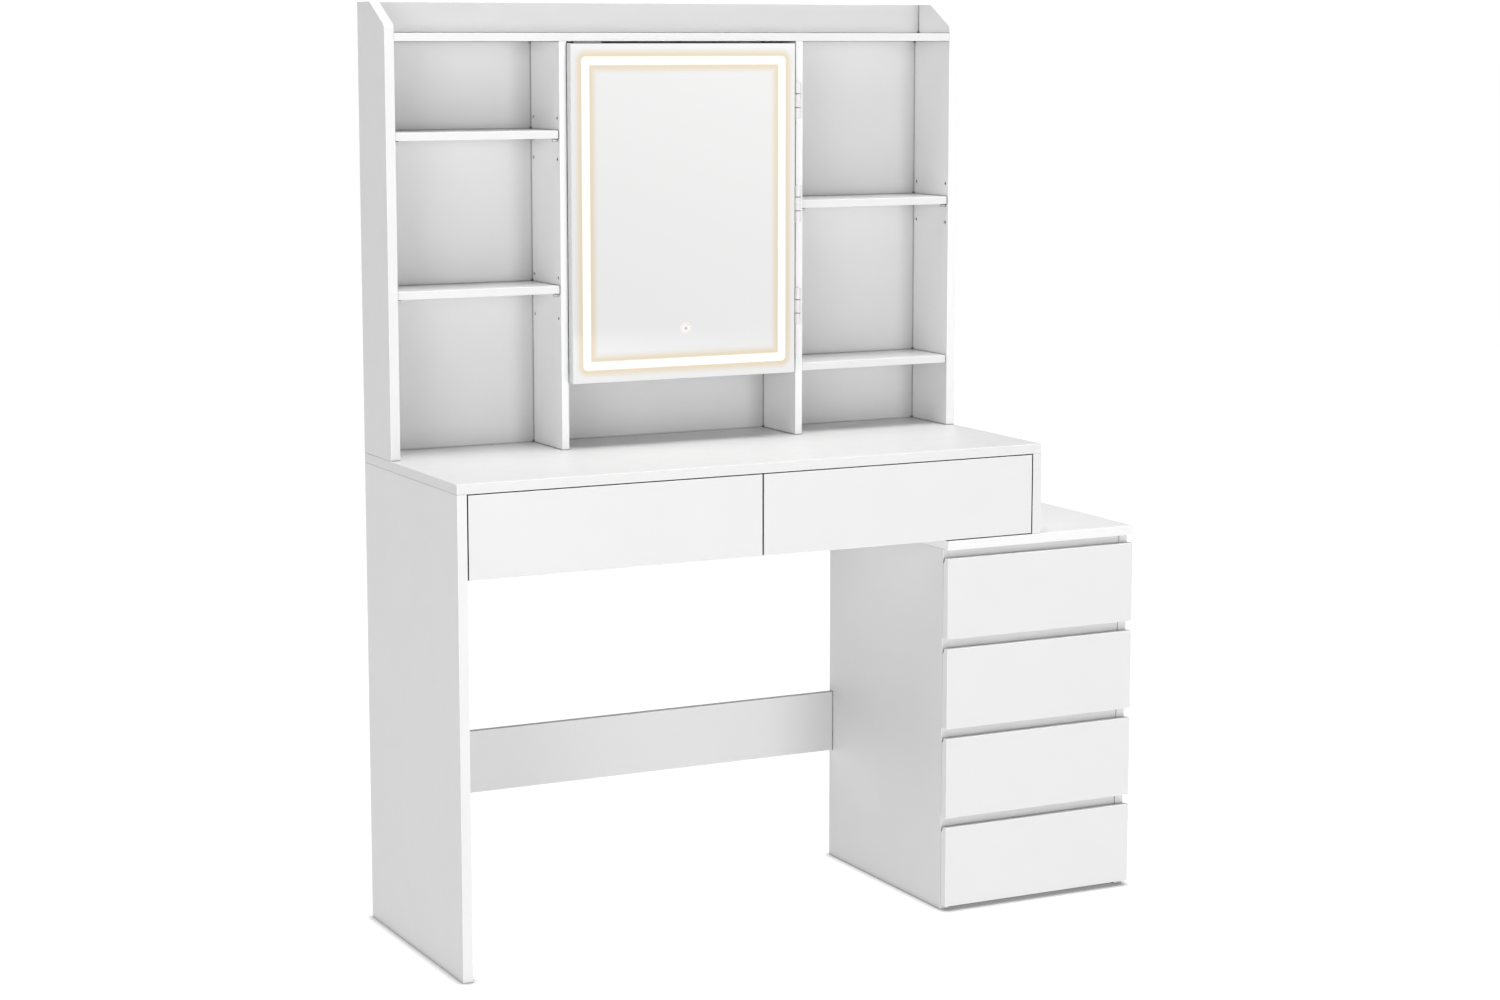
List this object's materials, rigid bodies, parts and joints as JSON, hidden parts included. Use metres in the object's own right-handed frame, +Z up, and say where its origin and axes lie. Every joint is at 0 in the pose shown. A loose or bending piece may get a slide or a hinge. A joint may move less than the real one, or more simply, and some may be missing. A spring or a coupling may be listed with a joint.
{
  "type": "vanity table",
  "caption": "Dressing table with drawers under its top, a drawer unit at one end, and a shelf hutch whose cabinet door is a hinged mirror with a lit band.",
  "frame": {"origin": "on the floor under the middle of the overall box", "axes": "+X to the user's right when facing the front, +Y from front to back, +Z up"},
  "size_m": [1.14, 0.38, 1.4],
  "materials": {
    "white_board": "white melamine faced particle board, satin, fine texture",
    "back_sheet": "white lacquered fibreboard sheet, satin",
    "mirror": "silvered float glass, polished",
    "light_band": "frosted diffuser lit from behind",
    "led_strip": "flexible strip with raised chips",
    "hinge_metal": "white enamelled steel",
    "runner_metal": "white epoxy coated steel",
    "fitting_metal": "zinc plated",
    "dowel_wood": "plain beech",
    "white_plastic": "moulded, satin",
    "dark_plastic": "moulded, matt"
  },
  "bodies": {
    "carcass": {"desktop": "white_board", "desk_left_panel": "white_board", "desk_right_panel": "white_board", "desk_partition": "white_board", "desk_back_rail": "white_board", "rear_stretcher": "white_board", "unit_top": "white_board", "unit_left_panel": "white_board", "unit_right_panel": "white_board", "unit_back_sheet": "back_sheet", "unit_front_rails": "white_board", "hutch_left_panel": "white_board", "hutch_right_panel": "white_board", "hutch_top_board": "white_board", "hutch_back_rail": "white_board", "hutch_back_sheet": "back_sheet", "hutch_left_divider": "white_board", "hutch_right_divider": "white_board", "left_bay_shelves": "white_board", "right_bay_shelves": "white_board", "cabinet_floor": "white_board", "cabinet_shelves": "white_board", "shelf_pins": "fitting_metal", "cam_locks": "fitting_metal", "wood_dowels": "dowel_wood", "magnetic_catch": "white_plastic", "runner_rails": "runner_metal", "hinge_frame_halves": "hinge_metal"},
    "mirror_door": {"door_board": "white_board", "mirror_glass": "mirror", "light_band": "light_band", "led_strip": "led_strip", "touch_sensor": "dark_plastic", "power_inlet": "dark_plastic", "catch_plate": "fitting_metal", "hinge_door_halves": "hinge_metal"},
    "desk_drawer_left": {"desk_drawer_left_front": "white_board", "desk_drawer_left_box": "white_board", "desk_drawer_left_bottom": "back_sheet", "desk_drawer_left_runners": "runner_metal"},
    "desk_drawer_right": {"desk_drawer_right_front": "white_board", "desk_drawer_right_box": "white_board", "desk_drawer_right_bottom": "back_sheet", "desk_drawer_right_runners": "runner_metal"},
    "unit_drawer_1": {"unit_drawer_1_front": "white_board", "unit_drawer_1_box": "white_board", "unit_drawer_1_bottom": "back_sheet", "unit_drawer_1_runners": "runner_metal"},
    "unit_drawer_2": {"unit_drawer_2_front": "white_board", "unit_drawer_2_box": "white_board", "unit_drawer_2_bottom": "back_sheet", "unit_drawer_2_runners": "runner_metal"},
    "unit_drawer_3": {"unit_drawer_3_front": "white_board", "unit_drawer_3_box": "white_board", "unit_drawer_3_bottom": "back_sheet", "unit_drawer_3_runners": "runner_metal"},
    "unit_drawer_4": {"unit_drawer_4_front": "white_board", "unit_drawer_4_box": "white_board", "unit_drawer_4_bottom": "back_sheet", "unit_drawer_4_runners": "runner_metal"}
  },
  "joints": [
    {"name": "mirror_door_hinge", "type": "hinge", "parent": "carcass", "child": "mirror_door", "pos_m": [0.1015, 0.0585, 1.0905], "axis": [0, 0, 1], "range_deg": [0, 170]},
    {"name": "desk_drawer_left_slide", "type": "slide", "parent": "carcass", "child": "desk_drawer_left", "axis": [0, -1, 0], "range_m": [0, 0.24]},
    {"name": "desk_drawer_right_slide", "type": "slide", "parent": "carcass", "child": "desk_drawer_right", "axis": [0, -1, 0], "range_m": [0, 0.24]},
    {"name": "unit_drawer_1_slide", "type": "slide", "parent": "carcass", "child": "unit_drawer_1", "axis": [0, -1, 0], "range_m": [0, 0.24]},
    {"name": "unit_drawer_2_slide", "type": "slide", "parent": "carcass", "child": "unit_drawer_2", "axis": [0, -1, 0], "range_m": [0, 0.24]},
    {"name": "unit_drawer_3_slide", "type": "slide", "parent": "carcass", "child": "unit_drawer_3", "axis": [0, -1, 0], "range_m": [0, 0.24]},
    {"name": "unit_drawer_4_slide", "type": "slide", "parent": "carcass", "child": "unit_drawer_4", "axis": [0, -1, 0], "range_m": [0, 0.24]}
  ]
}
